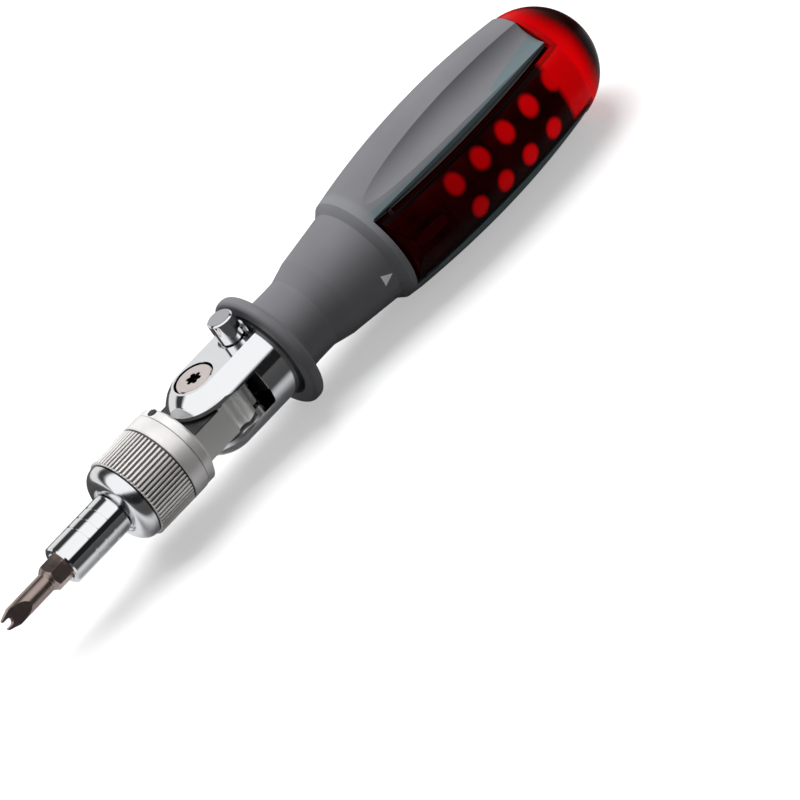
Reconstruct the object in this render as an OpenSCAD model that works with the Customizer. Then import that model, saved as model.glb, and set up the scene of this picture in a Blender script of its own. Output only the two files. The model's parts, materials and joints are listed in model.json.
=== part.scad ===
// Ratcheting screwdriver with a tilting head and a bit magazine in its handle.
// +X runs along the tool's axis from the bit towards the domed end, +Z is the head's pivot axis with the
// lock button on top, and the magazine faces -Y. The origin lies on the axis at the mouth of the bit holder.

/* [Bit and holder] */
// Size across the flats of the hexagon shanks and sockets
hex_af = 6.35; // [6.2:0.05:6.5]
// Length of the bit in the holder
bit_l = 28; // [27:0.5:30]
// Depth of the hexagon socket
socket_l = 8.3; // [7.5:0.1:9]
// Outer diameter of the bit holder
holder_d = 10.8; // [10.2:0.1:11.4]
// Length of the bit holder in front of the nose cap
holder_l = 18.4; // [17:0.2:22]
// Angle of the bit about the tool's axis
bit_turn = -15; // [-45:5:45]

/* [Ratchet head] */
// Length of the domed nose cap
nose_l = 4; // [3.8:0.1:5]
// Length of the knurled part of the selector ring
knurl_l = 11.5; // [11:0.5:14]
// Length of the smooth band behind the knurl
band_l = 4.7; // [4:0.1:6]
// Outer diameter of the selector ring
ring_d = 22.6; // [22.2:0.1:23.4]
// Wall of the selector ring
ring_wall = 1.9; // [1.7:0.1:2.1]
// Straight teeth round the knurl
knurl_n = 64; // [48:4:80]
// Length of the knuckle's round collar
collar_l = 3; // [2.8:0.1:4]
// Turn of the selector ring each way
selector_turn = 18; // [14:1:18]
// Rock of the pawl each way
pawl_rock = 6; // [5:0.5:6]

/* [Yoke and pivot] */
// Diameter of the yoke's round base
yoke_d = 22.4; // [22:0.1:23]
// Thickness of the yoke over its top and bottom flats
yoke_t = 19; // [18.4:0.2:20]
// Thickness of the knuckle's tongue
tongue_t = 8.3; // [7.8:0.1:8.8]
// Thickness of each pivot washer
washer_t = 0.5; // [0.4:0.05:0.7]
// Radius of the tongue's round end
tongue_r = 9; // [8.6:0.1:9.2]
// Diameter of the pivot screw's shank
screw_d = 6; // [5.5:0.1:6.4]
// Diameter of the lock button
button_d = 6.6; // [6:0.1:6.8]
// Height of the lock button above the yoke's flat
button_h = 6.3; // [5.5:0.1:7]
// Travel of the lock button
button_travel = 3; // [2.4:0.1:3]

/* [Handle] */
// Distance from the pivot to the front of the handle's flange
flange_reach = 17.8; // [17.6:0.1:19]
// Diameter of the flange
flange_d = 31.6; // [30:0.2:34]
// Thickness of the flange
flange_t = 3.2; // [3:0.1:4]
// Smallest diameter of the neck
neck_d = 20.2; // [19:0.1:21]
// Distance from the flange's front to the smallest part of the neck
neck_reach = 11; // [10:0.5:12]
// Length from the flange's front to the magazine's opening
neck_l = 36.5; // [35:0.5:40]
// Radius of the handle at the front edge of the opening
shoulder_r = 13.9; // [13.7:0.1:14.1]
// Largest diameter of the handle
belly_d = 35.2; // [34.8:0.1:36]
// Distance from the opening's front edge to the largest diameter
belly_reach = 31.5; // [30:0.5:33]
// Length of the two wings beside the magazine
wing_l = 60.5; // [60:0.5:62]
// Radius of the handle at the wings' ends
wing_end_r = 15.5; // [15.3:0.1:15.8]
// Depth of the two flutes beside the magazine
flute_depth = 1.9; // [1:0.1:2]
// Depth of the two flutes on the handle's back
back_flute_depth = 0.8; // [0.4:0.1:0.9]

/* [Magazine] */
// Width of the magazine
magazine_w = 18; // [17.6:0.1:18.2]
// Distance between neighbouring bits in a row
cell_pitch = 8.8; // [8.6:0.1:8.9]
// Distance of each row of bits from the tool's axis
row_z = 4.6; // [4.5:0.05:4.7]
// Length of the stored bits
stored_l = 25; // [24:0.5:25]
// Length of each stored bit's hexagon shank
stored_shank_l = 14.5; // [13.5:0.5:15]
// Diameter of the magazine's hinge pin
hinge_pin_d = 1.5; // [1.3:0.1:1.6]
// Radius of the rounded front end that turns about the hinge pin
hinge_r = 4.3; // [4.1:0.05:4.3]

/* [Hidden] */
$fn = 96;
// Segments of the handle's long arcs
arc_fn = 720;

// One overrun serves every through cut
over = 1;
// Running clearance of shafts in their bores, on the radius
running = 0.05;
// Clearance between pieces that pass each other
gap = 0.3;
// Clearance between faces that slide on each other
slide = 0.1;
// Depth of the small bevels on turned edges
edge = 0.4;

// Places along the tool's axis
nose_x = holder_l;
ring_x = nose_x + nose_l;
knuckle_x = ring_x + knurl_l + band_l;
knuckle_end = knuckle_x + collar_l;
yoke_r = yoke_d / 2;
tilt_gap = 0.4;
pivot_x = knuckle_end + yoke_r + tilt_gap;
slot_end = pivot_x + tongue_r + edge / 2 + gap;
flange_x = pivot_x + flange_reach;
opening_x = flange_x + neck_l;
wing_end = opening_x + wing_l;

// Bit holder
holder_r = holder_d / 2;
hex_clear = 0.05;
groove_w = 0.5;
groove_depth = 0.25;
groove_first = 7.4;
groove_pitch = 3.2;
groove_n = 3;
magnet_r = 2.5;
magnet_l = 3;
ring_groove_x = 3;
ring_groove_w = 0.9;
ring_groove_r = 4.3;
clip_r = 4.2;
clip_wire = 0.36;
journal_r = 4;
gear_pin_r = 0.75;

// Bit in the holder: a spanner bit with two prongs on a hollow-ground blade
hex_front = 4.8;
blade_w = 4.9;
blade_t = 1.2;
blade_neck_r = 2.5;
prong_w = 1.5;
prong_l = 2.2;
flank_l = 3.5;
grind_r = 16;

// Ratchet
gear_n = 24;
ring_bore_r = ring_d / 2 - ring_wall;
housing_r = ring_bore_r - 2 * slide;
nose_step = 0.7;
nose_r = ring_d / 2 - nose_step;
boss_wall = 1.2;
boss_r = housing_r - boss_wall;
boss_l = 5;
boss_end = ring_x + boss_l;
spigot_step = 1.85;
spigot_r = housing_r - spigot_step;
spigot_l = 2.3;
gear_room = 3.6;
gear_tip_r = housing_r - gear_room;
tooth_h = 0.7;
gear_root_r = gear_tip_r - tooth_h;
gear_tip_share = 0.06;
gear_wall = 1.7;
stub_r = gear_root_r - gear_wall;
gear_l = 7.2;
cavity_gap = 0.7;
cavity_r = gear_tip_r + cavity_gap;
washer_l = 0.4;
gear_x = boss_end + washer_l + slide;
cavity_end = gear_x + gear_l + slide;
pawl_rise = 1.8;
pawl_z = gear_tip_r + pawl_rise;
pawl_w = 5.2;
pawl_pocket = 5.2;
pawl_x = gear_x + (gear_l - pawl_w) / 2;
pawl_pin_r = 0.8;
pawl_pin_hold = 1;
pawl_lift = 0.08;
nose_angle = 2.5 * 360 / gear_n;
selector_ball_r = 0.8;
selector_ball_at = housing_r + edge;
// The pawl's flat back touches the ball when both are turned all the way
pawl_back = selector_ball_at * cos(selector_turn - pawl_rock) - pawl_z * cos(pawl_rock)
  - selector_ball_r - pawl_lift;
pawl_back_w = 2.9;
pawl_side_w = 4.1;
pawl_side_drop = 0.4;
pawl_outer = 1;
pawl_inner = 0.9;
// Angles of the pawl's corners from the middle of each nose
nose_half = 2.2;
nose_outer = 6;
nose_inner = 7;
detent_r = 0.9;
detent_cut = 0.5;
detent_groove_r = ring_bore_r + detent_cut;
detent_play = 0.15;
detent_at = detent_groove_r - detent_r - detent_play;
detent_depth = 2.5;
detent_floor = housing_r - detent_depth;
detent_margin = 8;
detent_wire = 0.25;
knurl_depth = 0.35;
// Shares of a knurl tooth's pitch, each with its share of the depth
knurl_shares = [[0, 0], [0.42, 0], [0.58, 1], [0.84, 1]];
pin_r = 1;
housing_pin_low = 5;

// Yoke and pivot
flat_z = yoke_t / 2;
tongue_z = tongue_t / 2;
slot_z = tongue_z + washer_t + slide;
cheek_r = 9.6;
screw_r = screw_d / 2;
head_r = 5;
head_l = 2.35;
head_sink = 0.1;
star_r = 1.45;
star_lobe_r = 0.6;
star_depth = 1.6;
nut_af = 8;
nut_l = 2.9;
washer_r = 6.2;
button_r = button_d / 2;
collar_r = button_r + edge;
button_wall = 0.55;
button_x = slot_end + collar_r + button_wall;
plug_l = 1.6;
wire = 0.5;
coil_solid = 2.4;
button_collar_low = plug_l - flat_z + coil_solid + button_travel;
button_collar_high = 3;
key_w = 3;
key_h = 3;
notch_r = 2;
notch_rise = 0.9;
flange_floor = 0.2;
yoke_end = flange_x + flange_t - flange_floor;
flat_end = flange_x - edge;
shank_r = 6;
shank_l = 24;
yoke_pin_r = 1.5;
yoke_pin_reach = 14;

// Handle
core_r = 8;
recess_r = yoke_r + 1.1;
flange_r = flange_d / 2;
flange_round = 1.2;
flange_fillet = 2.4;
neck_x = flange_x + neck_reach;
neck_r = neck_d / 2;
belly_r = belly_d / 2;
belly_x = opening_x + belly_reach;
shoulder_round = 20;
grip_wall = 1.4;
liner_t = 1;
bay_z = magazine_w / 2 + gap;
closure_l = 3;
land_drop = 4.3;
land_y = belly_r - land_drop;
land_side = 2.5;
land_z = bay_z + land_side;
flute_r = 8;
flute_angle = 30;
back_flute_angle = -60;
flute_run = 5;
flute_reach = 17;
flute_arc = 420;
back_flute_shift = 10;
lip_back = 3.6;
lip_drop = 1.9;
lip_l = 5.4;
cone_l = 23.5;
cone_slope = 0.12;

// Magazine
magazine_inset = 0.2;
magazine_z = magazine_w / 2;
hinge_pin_r = hinge_pin_d / 2;
hinge_x = opening_x + hinge_r + 2 * gap;
hinge_depth = 3;
hinge_y = hinge_depth - shoulder_r;
lug_r = 2.2;
lug_inset = 0.15;
pin_hold = 0.6;
pin_end_z = bay_z + pin_hold;
tray_y = -2.1;
tray_corner = 1.5;
plate_x = wing_end + gap;
plate_l = 1.5;
cap_r = wing_end_r - magazine_inset;
cap_rise = 2;
cap_x = plate_x - cap_rise;
cap_wall = 2;
cell_n = 5;
cell_clear = 0.1;
cell_floor = 1;
cell_back = 5.8;
cell_last = plate_x - cell_back;
pocket_l = 7.5;
pocket_wall = 1.2;
pocket_depth = 1.7;
pocket_y = hinge_y - pocket_depth;
pocket_sill = 1.1;
latch_r = 1.2;
latch_l = 1.7;
latch_y = 6;

// Stored bits
stored_neck_r = 2.6;
stored_neck_l = 1;
// Shares of a tip's length or radius that shape it
cone_share = 0.55;
point_share = 0.3;
wing_share = 0.8;
star_core_share = 0.74;
wing_slope = 7;
// Tips of both rows from the hinge to the dome: the kind, then its radius, or a slotted blade's width and
// thickness, as shares of the hexagon's size
upper_tip_shares = [
  ["slot", 1.07, 0.19], ["cross", 0.425], ["cross", 0.49], ["slot", 0.85, 0.16], ["cross", 0.315]
];
lower_tip_shares = [["hex", 0.36], ["star", 0.35], ["cross", 0.38], ["square", 0.315], ["hex", 0.24]];

// Radius of an arc that falls by drop over a distance run from its crown
function arc_r(run, drop) = (run * run + drop * drop) / (2 * drop);

// Point at distance ra from a and rb from b, on the left of the line from a to b
function meet(a, ra, b, rb) =
  let (d = norm(b - a), u = (b - a) / d, m = (ra * ra - rb * rb + d * d) / (2 * d), h = sqrt(ra * ra - m * m))
  a + m * u + h * [-u[1], u[0]];

// The handle's outline is three arcs. Their centres are given as [distance along the axis, radius].
belly_arc = arc_r(wing_l - belly_reach, belly_r - wing_end_r);
neck_arc = arc_r(opening_x - neck_x, shoulder_r - neck_r);
belly_c = [belly_x, belly_r - belly_arc];
neck_c = [neck_x, neck_r + neck_arc];
round_c = meet(belly_c, belly_arc - shoulder_round, neck_c, neck_arc + shoulder_round);

// Where the shoulder's arc touches the neck's and the belly's, for an outline that lies inset deeper
function neck_touch(inset) = neck_c + (neck_arc + inset) * (round_c - neck_c) / norm(round_c - neck_c);
function belly_touch(inset) = belly_c + (belly_arc - inset) * (round_c - belly_c) / norm(round_c - belly_c);

// Radius of the handle's belly at a place along the axis
function belly_at(x) = belly_c[1] + sqrt(belly_arc * belly_arc - (x - belly_x) * (x - belly_x));

// Place of each stored bit along the axis, and the floor of its cell
function cell_x(i) = cell_last - (cell_n - 1 - i) * cell_pitch;
function cell_y(i) =
  let (r = belly_at(cell_x(i)) - magazine_inset, z = row_z + hex_af / 2 + cell_clear)
  cell_floor - sqrt(r * r - z * z);

// A turned shape: its outline is drawn as [radius, distance along the axis]
module turned() {
  rotate([0, 90, 0]) rotate_extrude() children();
}

// A rod or bore along the axis
module rod(x, l, r) {
  translate([x, 0, 0]) rotate([0, 90, 0]) cylinder(h = l, r = r);
}

// A hexagon rod along the axis, with flats towards Y
module hex_rod(x, l, af) {
  translate([x, 0, 0]) rotate([0, 90, 0]) cylinder(h = l, r = af / sqrt(3), $fn = 6);
}

// A rod with a small bevel at each end
module bevelled_rod(x, l, r, bevel) {
  turned() translate([0, x]) polygon([
    [0, 0], [r - bevel, 0], [r, bevel], [r, l - bevel], [r - bevel, l], [0, l]
  ]);
}

// A round wire wound about +Z
module coil(r, thick, turns, h) {
  steps = 10;
  sides = 6;
  rings = ceil(turns * steps);
  function ring_point(i, j) =
    let (a = 360 * turns * i / rings, b = 360 * j / sides, q = r + thick / 2 * cos(b))
    [q * cos(a), q * sin(a), thick / 2 + (h - thick) * i / rings + thick / 2 * sin(b)];
  points = [for (i = [0 : rings]) for (j = [0 : sides - 1]) ring_point(i, j)];
  walls = [
    for (i = [0 : rings - 1]) for (j = [0 : sides - 1])
      let (k = (j + 1) % sides, a = i * sides + j, b = i * sides + k)
      each [[a, a + sides, b], [b, a + sides, b + sides]]
  ];
  front = [for (j = [1 : sides - 2]) [0, j, j + 1]];
  back = [for (j = [1 : sides - 2]) [rings * sides, rings * sides + j + 1, rings * sides + j]];
  polyhedron(points = points, faces = concat(walls, front, back));
}

// The handle's outline from the flange back to end, lying inset deeper than the surface
module handle_outline(inset, start, end) {
  t1 = neck_touch(inset)[0];
  t2 = belly_touch(inset)[0];
  translate([0, start]) square([neck_r / 2, end - start]);
  if (start < t1)
    difference() {
      translate([0, start]) square([belly_r, t1 - start]);
      translate([neck_c[1], neck_c[0]]) circle(r = neck_arc + inset, $fn = arc_fn);
    }
  intersection() {
    translate([0, t1]) square([belly_r, t2 - t1]);
    translate([round_c[1], round_c[0]]) circle(r = shoulder_round - inset, $fn = arc_fn);
  }
  intersection() {
    translate([0, t2]) square([belly_r, end - t2]);
    translate([belly_c[1], belly_c[0]]) circle(r = belly_arc - inset, $fn = arc_fn);
  }
}

// The flange with its rounded rim and the fillet behind it
module flange_outline() {
  fillet_r = neck_r + neck_arc - sqrt(neck_arc * neck_arc - (neck_x - flange_x - flange_t) ^ 2);
  translate([0, flange_x]) square([flange_r - flange_round, flange_t]);
  translate([0, flange_x + flange_round]) square([flange_r, flange_t - 2 * flange_round]);
  for (x = [flange_x + flange_round, flange_x + flange_t - flange_round])
    translate([flange_r - flange_round, x]) circle(r = flange_round);
  difference() {
    translate([0, flange_x + flange_t]) square([fillet_r + flange_fillet, flange_fillet]);
    translate([fillet_r + flange_fillet, flange_x + flange_t + flange_fillet]) circle(r = flange_fillet);
  }
}

// A groove cut by a round tool along an arc, at an angle from +Z towards -Y. The arc has its crown at crown_x,
// where the groove's floor lies depth under the belly's largest radius.
module flute(angle, depth, crown_x, path_r) {
  start = asin((crown_x - opening_x + flute_run) / path_r);
  sweep = start + asin((wing_end + flute_run - crown_x) / path_r);
  rotate([angle, 0, 0]) translate([crown_x, 0, belly_r - depth + flute_r - path_r]) rotate([90, 0, 0])
    rotate([0, 0, 90 + start - sweep])
      rotate_extrude(angle = sweep, $fn = arc_fn) translate([path_r, 0]) circle(r = flute_r, $fn = 96);
}

// Slims the neck to a cone that ends in a low step up to the belly
module neck_cut() {
  foot_x = opening_x - lip_back;
  foot_r = belly_at(opening_x) - lip_drop;
  turned() polygon([
    [foot_r - cone_l * cone_slope, foot_x - cone_l], [foot_r, foot_x], [belly_r, foot_x + lip_l],
    [belly_r, foot_x - cone_l]
  ]);
}

// The flat bands along the wings' edges, on the magazine side
module land_cut() {
  translate([0, 0, -land_z]) linear_extrude(height = 2 * land_z) difference() {
    translate([opening_x + edge, -belly_r - over]) square([wing_l + over, belly_r + over - tray_corner]);
    translate([belly_x, belly_arc - land_y]) circle(r = belly_arc, $fn = arc_fn);
    translate([opening_x, tray_y - land_y / 2]) square([wing_l + 2 * over, land_y]);
  }
}

// Outside of the black liner, which is also the space that the grip leaves for it
module liner_body() {
  intersection() {
    turned() handle_outline(grip_wall, opening_x - closure_l, wing_end);
    translate([opening_x - closure_l, -belly_r, -bay_z - liner_t])
      cube([wing_l + closure_l, 2 * belly_r, 2 * (bay_z + liner_t)]);
  }
}

// The two ears that hold the ends of the magazine's hinge pin
module hinge_lugs() {
  for (s = [-1, 1])
    intersection() {
      turned() handle_outline(lug_inset, opening_x, wing_end);
      translate([hinge_x, hinge_y, s > 0 ? bay_z : -bay_z - liner_t]) cylinder(h = liner_t, r = lug_r);
    }
}

module grip() {
  color("dimgray")
  difference() {
    union() {
      turned() handle_outline(0, flange_x + flange_t, wing_end);
      turned() flange_outline();
    }
    rod(flange_x - over, flange_t - flange_floor + over, recess_r);
    rod(flange_x, opening_x - flange_x, core_r);
    liner_body();
    translate([opening_x, -belly_r - over, -bay_z - liner_t])
      cube([wing_l + over, belly_r + over, 2 * (bay_z + liner_t)]);
    land_cut();
    neck_cut();
    for (s = [-1, 1]) {
      mirror([0, 0, s > 0 ? 0 : 1]) flute(flute_angle, flute_depth, opening_x + flute_reach, flute_arc);
      mirror([0, 0, s > 0 ? 0 : 1])
        flute(back_flute_angle, back_flute_depth, belly_x + back_flute_shift, flute_arc);
    }
  }
}

module handle_core() {
  color([0.08, 0.08, 0.09])
  difference() {
    union() {
      rod(yoke_end, opening_x - yoke_end, core_r);
      liner_body();
      hinge_lugs();
    }
    intersection() {
      turned() handle_outline(grip_wall + liner_t, opening_x, wing_end + over);
      translate([opening_x, -belly_r, -bay_z]) cube([wing_l + over, 2 * belly_r, 2 * bay_z]);
    }
    translate([opening_x, -belly_r, -bay_z]) cube([wing_l + over, belly_r, 2 * bay_z]);
    rod(yoke_end - over, shank_l + edge + over, shank_r + running);
    translate([yoke_end + yoke_pin_reach, 0, -core_r - over]) cylinder(h = 2 * (core_r + over), r = yoke_pin_r);
    translate([hinge_x, hinge_y, -pin_end_z]) cylinder(h = 2 * pin_end_z, r = hinge_pin_r);
  }
}

module hinge_pin() {
  color("silver")
  translate([hinge_x, hinge_y, -pin_end_z]) cylinder(h = 2 * pin_end_z, r = hinge_pin_r);
}

// The yoke's outer form: a round base with two flats that end in a ball about the pivot
module yoke_body() {
  intersection() {
    union() {
      rod(pivot_x, yoke_end - pivot_x, yoke_r);
      translate([pivot_x, 0, 0]) sphere(r = yoke_r);
    }
    union() {
      translate([pivot_x - yoke_r, -yoke_r, -flat_z]) cube([flat_end - pivot_x + yoke_r, yoke_d, yoke_t]);
      translate([flat_end, -yoke_r, -yoke_r]) cube([yoke_end - flat_end, yoke_d, yoke_d]);
    }
    translate([0, 0, -yoke_r]) linear_extrude(height = yoke_d) {
      translate([pivot_x, 0]) circle(r = cheek_r);
      polygon([
        [pivot_x, -cheek_r], [slot_end, -yoke_r], [yoke_end, -yoke_r],
        [yoke_end, yoke_r], [slot_end, yoke_r], [pivot_x, cheek_r]
      ]);
    }
  }
}

module yoke() {
  color([0.8, 0.81, 0.83])
  difference() {
    union() {
      yoke_body();
      bevelled_rod(yoke_end - edge, shank_l + edge, shank_r, edge);
    }
    translate([pivot_x - yoke_r - over, -yoke_r, -slot_z])
      cube([slot_end - pivot_x + yoke_r + over, yoke_d, 2 * slot_z]);
    translate([pivot_x, 0, -yoke_r]) cylinder(h = yoke_d, r = screw_r + running);
    translate([pivot_x, 0, flat_z - head_l - head_sink]) cylinder(h = yoke_r, r = head_r + gap);
    translate([pivot_x, 0, -flat_z - over])
      cylinder(h = nut_l + gap + over, r = (nut_af + gap) / sqrt(3), $fn = 6);
    translate([button_x, 0, 0]) {
      cylinder(h = yoke_r, r = button_r + slide);
      translate([0, 0, -yoke_r]) cylinder(h = yoke_r + button_collar_high + running, r = collar_r + running);
      translate([0, 0, flat_z - 2 * edge]) cylinder(h = yoke_r, r = button_r + 1.5 * edge);
      translate([slot_end - button_x - over, -key_w / 2 - slide, button_collar_low - button_travel - slide])
        cube([
          button_x - slot_end + over, key_w + 2 * slide,
          slot_z + slide + button_travel - button_collar_low
        ]);
    }
    translate([yoke_end + yoke_pin_reach, 0, -yoke_r]) cylinder(h = yoke_d, r = yoke_pin_r);
  }
}

module yoke_pin() {
  color("gray")
  translate([yoke_end + yoke_pin_reach, 0, -core_r + edge]) cylinder(h = 2 * (core_r - edge), r = yoke_pin_r);
}

// A six-lobed recess for a star driver
module star_recess() {
  cylinder(h = star_depth + over, r = star_r);
  for (i = [0 : 5])
    rotate([0, 0, 60 * i]) translate([star_r, 0, 0]) cylinder(h = star_depth + over, r = star_lobe_r);
}

module pivot_screw() {
  color([0.78, 0.74, 0.72])
  translate([pivot_x, 0, flat_z - head_sink])
    difference() {
      union() {
        rotate_extrude() polygon([
          [0, 0], [head_r - edge, 0], [head_r, -edge], [head_r, -head_l], [0, -head_l]
        ]);
        translate([0, 0, -2 * flat_z + head_sink + edge])
          cylinder(h = 2 * flat_z - head_sink - edge - head_l, r = screw_r);
      }
      translate([0, 0, -star_depth]) star_recess();
    }
}

module pivot_nut() {
  color("gray")
  translate([pivot_x, 0, -flat_z + edge / 2])
    difference() {
      cylinder(h = nut_l, r = nut_af / sqrt(3), $fn = 6);
      translate([0, 0, -over]) cylinder(h = nut_l + 2 * over, r = screw_r);
    }
}

module pivot_washers() {
  color("lightgray")
  for (z = [-slot_z + slide / 2, tongue_z + slide / 2])
    translate([pivot_x, 0, z])
      difference() {
        cylinder(h = washer_t, r = washer_r);
        translate([0, 0, -over]) cylinder(h = washer_t + 2 * over, r = screw_r + running);
      }
}

module button_plug() {
  color("gray")
  translate([button_x, 0, -flat_z]) cylinder(h = plug_l, r = collar_r + running);
}

module lock_button() {
  color([0.82, 0.83, 0.85])
  translate([button_x, 0, 0]) {
    rotate_extrude() polygon([
      [0, button_collar_low], [collar_r, button_collar_low], [collar_r, button_collar_high],
      [button_r, button_collar_high], [button_r, flat_z + button_h - edge],
      [button_r - edge, flat_z + button_h], [0, flat_z + button_h]
    ]);
    translate([slot_end - button_x + edge / 2, -key_w / 2, button_collar_low])
      cube([button_x - slot_end - edge / 2, key_w, key_h]);
  }
}

module button_spring() {
  color("silver")
  translate([button_x, 0, plug_l - flat_z])
    coil(collar_r - wire, wire, 3.5, button_collar_low + flat_z - plug_l);
}

module knuckle() {
  color([0.76, 0.76, 0.77])
  difference() {
    union() {
      turned() translate([0, knuckle_x]) polygon([
        [0, 0], [yoke_r - slide, 0], [yoke_r - slide, collar_l - 2 * edge],
        [yoke_r - 3 * edge, collar_l], [0, collar_l]
      ]);
      translate([0, 0, -tongue_z]) linear_extrude(height = tongue_t) difference() {
        union() {
          translate([pivot_x, 0]) circle(r = tongue_r);
          translate([knuckle_end - edge, -tongue_r]) square([pivot_x - knuckle_end + edge, 2 * tongue_r]);
        }
        for (a = [-90 : 45 : 90])
          translate([pivot_x, 0]) rotate(a) translate([tongue_r + notch_rise, 0]) circle(r = notch_r);
      }
    }
    rod(knuckle_x - over, spigot_l + over + slide, spigot_r);
    translate([knuckle_x + collar_l / 2, 0, 0]) cylinder(h = yoke_r, r = pin_r);
    translate([pivot_x, 0, -yoke_r]) cylinder(h = yoke_d, r = screw_r + running);
  }
}

// The steel body inside the selector ring, which holds the pawl and the gear's bearings
module ratchet_housing() {
  color("gray")
  difference() {
    union() {
      rod(ring_x + edge, knuckle_x - ring_x - edge, housing_r);
      rod(knuckle_x, spigot_l, spigot_r);
    }
    rod(ring_x, boss_l, boss_r);
    rod(ring_x, cavity_end - ring_x, cavity_r);
    rod(ring_x, knuckle_x - ring_x + spigot_l + over, stub_r + running);
    translate([pawl_x - slide, -pawl_pocket, 0]) cube([pawl_w + 2 * slide, 2 * pawl_pocket, housing_r + over]);
    rod_pawl_pin();
    translate([pawl_x + pawl_w / 2, 0, -housing_r - over])
      cylinder(h = housing_r + over - detent_floor, r = detent_r + running);
    translate([knuckle_x + collar_l / 2, 0, housing_pin_low]) cylinder(h = housing_r, r = pin_r);
  }
}

module housing_pin() {
  color([0.62, 0.62, 0.6])
  intersection() {
    translate([knuckle_x + collar_l / 2, 0, housing_pin_low]) cylinder(h = yoke_r, r = pin_r);
    rod(knuckle_x, collar_l, yoke_r - slide);
  }
}

// The pin that the pawl rocks on
module rod_pawl_pin() {
  translate([0, 0, pawl_z])
    rod(pawl_x - slide - pawl_pin_hold, pawl_w + 2 * (slide + pawl_pin_hold), pawl_pin_r);
}

module pawl_pin() {
  color("silver") rod_pawl_pin();
}

// The polished nose: a rounded shoulder with a hollow ring round the holder, on a boss in the housing
module nose_cap() {
  round_r = nose_l - edge;
  color([0.84, 0.84, 0.85])
  difference() {
    union() {
      turned() {
        translate([0, nose_x + edge / 2]) square([nose_r - round_r, nose_l - edge / 2]);
        translate([0, ring_x - edge]) square([nose_r, edge]);
        intersection() {
          translate([nose_r - round_r, ring_x - edge]) circle(r = round_r);
          translate([0, nose_x]) square([nose_r, nose_l - edge]);
        }
      }
      rod(ring_x, boss_l, boss_r);
    }
    rod(nose_x, nose_l + boss_l + over, journal_r + running);
    turned() translate([holder_r + edge, nose_x + edge / 2]) circle(r = 1.5 * edge);
  }
}

module detent_ball() {
  color("silver") translate([pawl_x + pawl_w / 2, 0, -detent_at]) sphere(r = detent_r);
}

module detent_spring() {
  color("silver")
  translate([pawl_x + pawl_w / 2, 0, detent_r - detent_at])
    coil(detent_r - detent_wire, detent_wire, 2.5, detent_at - detent_r - detent_floor);
}

// The knurled ring, with a stop groove for the detent ball and a pocket for the ball that tips the pawl
module selector_ring() {
  ring_r = ring_d / 2;
  mid = pawl_x + pawl_w / 2;
  color([0.72, 0.71, 0.7])
  difference() {
    union() {
      translate([ring_x + slide, 0, 0]) rotate([0, 90, 0]) linear_extrude(height = knurl_l - slide)
        polygon([
          for (i = [0 : knurl_n - 1]) for (q = knurl_shares)
            (ring_r - knurl_depth * q[1]) * [cos(360 * (i + q[0]) / knurl_n), sin(360 * (i + q[0]) / knurl_n)]
        ]);
      bevelled_rod(ring_x + knurl_l, band_l - slide, ring_r, edge / 2);
    }
    rod(ring_x - over, knurl_l + band_l + 2 * over, ring_bore_r);
    translate([mid, 0, 0])
      cylinder(h = selector_ball_at + selector_ball_r + slide, r = selector_ball_r + running);
    intersection() {
      rod(mid - detent_r - slide, 2 * (detent_r + slide), detent_groove_r);
      translate([mid - detent_r - over, 0, 0]) rotate([0, 90, 0]) linear_extrude(height = 2 * (detent_r + over))
        polygon([
          [0, 0],
          for (a = [-1, -0.5, 0, 0.5, 1])
            2 * ring_r * [cos(a * (selector_turn + detent_margin)), sin(a * (selector_turn + detent_margin))]
        ]);
    }
  }
}

module selector_ball() {
  color("silver")
  translate([pawl_x + pawl_w / 2, 0, selector_ball_at]) sphere(r = selector_ball_r);
}

// A rocking pawl with a nose at each end. At rest both noses clear the gear.
module pawl() {
  tip_r = gear_tip_r + pawl_lift;
  half = [
    [pawl_back_w, pawl_z + pawl_back],
    [pawl_side_w, pawl_z - pawl_side_drop],
    (tip_r + pawl_outer) * [sin(nose_angle + nose_outer), cos(nose_angle + nose_outer)],
    tip_r * [sin(nose_angle + nose_half), cos(nose_angle + nose_half)],
    tip_r * [sin(nose_angle - nose_half), cos(nose_angle - nose_half)],
    (tip_r + pawl_inner) * [sin(nose_angle - nose_inner), cos(nose_angle - nose_inner)]
  ];
  color("darkgray")
  difference() {
    translate([pawl_x, 0, 0]) rotate([90, 0, 90]) linear_extrude(height = pawl_w)
      polygon(concat(half, [for (i = [len(half) - 1 : -1 : 0]) [-half[i][0], half[i][1]]]));
    translate([0, 0, pawl_z]) rod(pawl_x - over, pawl_w + 2 * over, pawl_pin_r + running);
  }
}

module bit_holder() {
  clip_end = ring_groove_x + ring_groove_w;
  color([0.84, 0.84, 0.86])
  difference() {
    union() {
      bevelled_rod(0, holder_l, holder_r, edge);
      rod(holder_l - edge, boss_end - holder_l + edge, journal_r);
      rod(boss_end, knuckle_x - boss_end + spigot_l, stub_r);
    }
    rotate([bit_turn, 0, 0]) hex_rod(-over, socket_l + over, hex_af + 2 * hex_clear);
    turned() polygon([
      [0, -over], [hex_af / 2 + 2 * edge, -over], [hex_af / 2 + 2 * edge, 0], [0, 2 * hex_af / 3]
    ]);
    rod(socket_l - edge, magnet_l + edge, magnet_r);
    rod(ring_groove_x, ring_groove_w, ring_groove_r);
    for (i = [0 : groove_n - 1])
      turned() translate([holder_r - groove_depth, groove_first + i * groove_pitch - groove_w / 2])
        square([over, groove_w]);
    translate([gear_x + gear_l / 2, 0, -yoke_r]) cylinder(h = yoke_d, r = gear_pin_r);
  }
}

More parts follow.
